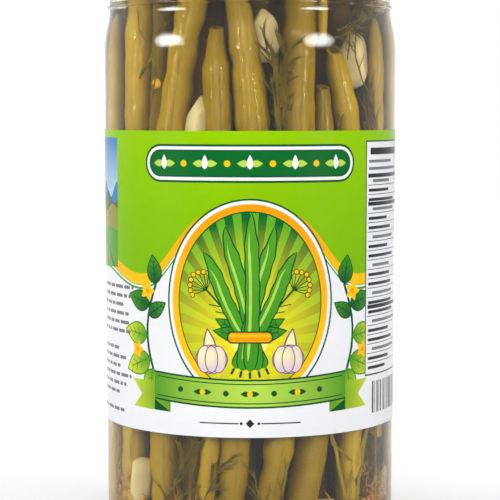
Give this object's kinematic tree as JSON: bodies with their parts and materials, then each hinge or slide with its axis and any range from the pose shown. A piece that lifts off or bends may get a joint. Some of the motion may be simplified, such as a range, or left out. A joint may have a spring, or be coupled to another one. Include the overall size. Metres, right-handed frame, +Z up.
{
  "type": "jar of pickled green beans",
  "caption": "Wide-mouth glass jar packed upright with pickled green beans in brine, with a wrap paper label and a twist-off metal lid.",
  "frame": {"origin": "centre of the jar's bearing ring, on the surface it stands on", "axes": "+Z up along the jar's axis; the middle of the label faces -Y and +X is to its right"},
  "size_m": [0.0842, 0.0842, 0.1747],
  "materials": {
    "clear_glass": "clear flint glass, polished, slightly wavy",
    "brine": "clear yellow-green brine, filled with olive-green pickled beans",
    "label_paper": "semi-gloss printed paper, lime green over white",
    "lid_metal": "gold-lacquered tinplate",
    "seal_compound": "soft off-white sealing compound",
    "pickled_beans": "olive-yellow pickled pod skin, wet and slightly wrinkled",
    "garlic": "cream peeled garlic, wet",
    "dill": "dark olive dill, limp and fine",
    "spices": "mustard seed, peppercorn and chilli flakes"
  },
  "bodies": {
    "root": {"jar_glass": "clear_glass", "brine": "brine", "label": "label_paper", "lid": "lid_metal", "lid_seal": "seal_compound"}
  },
  "joints": []
}
